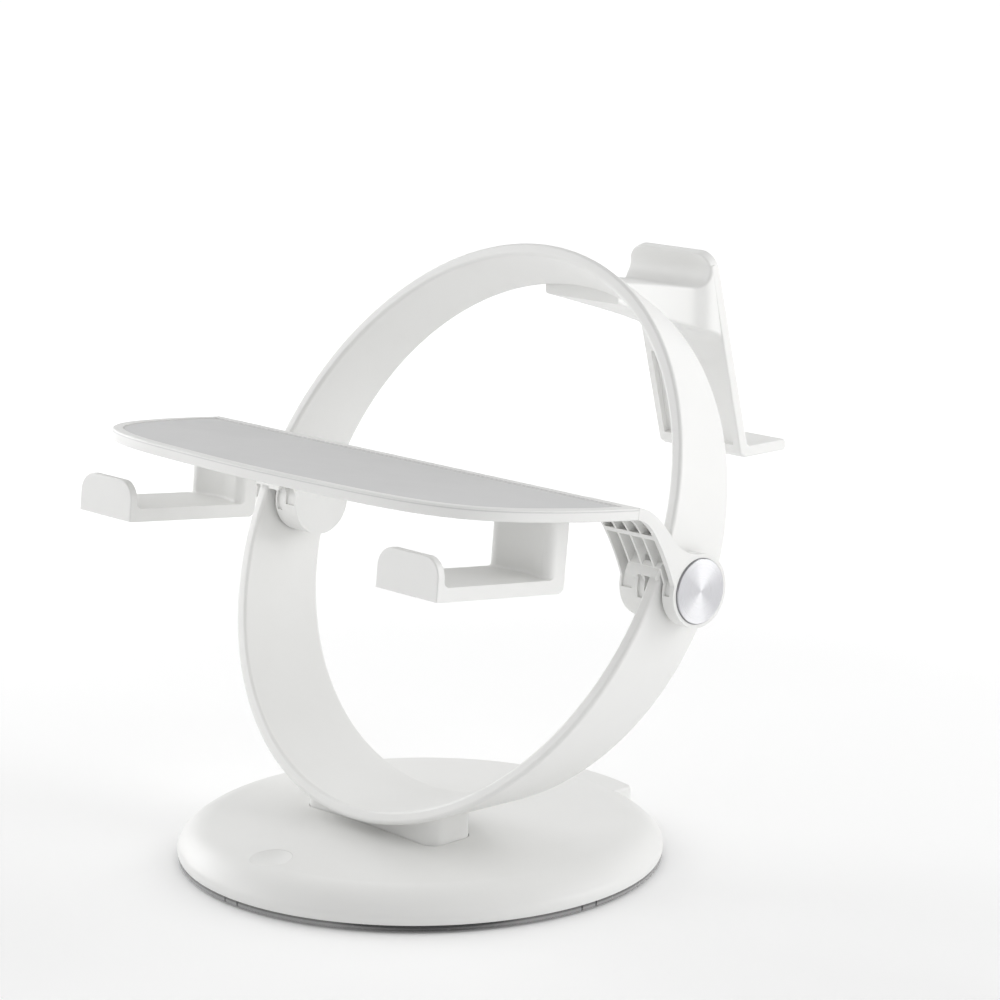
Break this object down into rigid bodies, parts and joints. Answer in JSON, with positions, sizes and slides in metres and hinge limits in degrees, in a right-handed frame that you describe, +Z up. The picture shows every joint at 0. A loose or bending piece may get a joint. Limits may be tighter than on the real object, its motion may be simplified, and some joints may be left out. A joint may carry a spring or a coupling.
{
  "type": "vr headset stand",
  "caption": "Desk stand for a VR headset: leaning tapered hoop on a domed round base, tilting curved tray with controller hooks and a rear strap holder.",
  "frame": {"origin": "centre of the base's underside, on the desk", "axes": "+Z up, tray and hooks open towards -Y, +X along the tray's pivot line"},
  "size_m": [0.2434, 0.2782, 0.2339],
  "materials": {
    "white_base": "fine satin",
    "dark_plate": "gloss",
    "screw_steel": "satin",
    "weight_steel": "satin",
    "foot_rubber": "matte",
    "white_block": "fine satin",
    "white_hoop": "fine satin",
    "foot_screw_steel": "satin",
    "bush_brass": "satin",
    "white_holder": "fine satin",
    "white_tray": "fine satin",
    "grey_pad": "matte",
    "white_hook_right": "fine satin",
    "white_hook_left": "fine satin",
    "tray_screw_steel": "satin",
    "white_arm_right": "fine satin",
    "white_arm_left": "fine satin",
    "brushed_cap": "turned, concentric grain",
    "pin_steel": "satin",
    "insert_brass": "satin",
    "washer_nylon": "matte"
  },
  "bodies": {
    "stand": {"base_shell": "white_base", "bottom_plate": "dark_plate", "plate_screws": "screw_steel", "base_weight": "weight_steel", "foot_pad": "foot_rubber", "rear_block": "white_block", "hoop": "white_hoop", "foot_screws": "foot_screw_steel", "pivot_bushes": "bush_brass", "strap_holder": "white_holder"},
    "tray": {"tray_plate": "white_tray", "tray_pad": "grey_pad", "hook_right": "white_hook_right", "hook_left": "white_hook_left", "tray_screws": "tray_screw_steel", "arm_right": "white_arm_right", "arm_left": "white_arm_left", "outer_caps": "brushed_cap", "pivot_pins": "pin_steel", "pivot_inserts": "insert_brass", "pivot_washers": "washer_nylon"}
  },
  "joints": [
    {"name": "tray_tilt", "type": "hinge", "parent": "stand", "child": "tray", "pos_m": [0, 0.0294, 0.1223], "axis": [1, 0, 0], "range_deg": [-12, 18]}
  ]
}
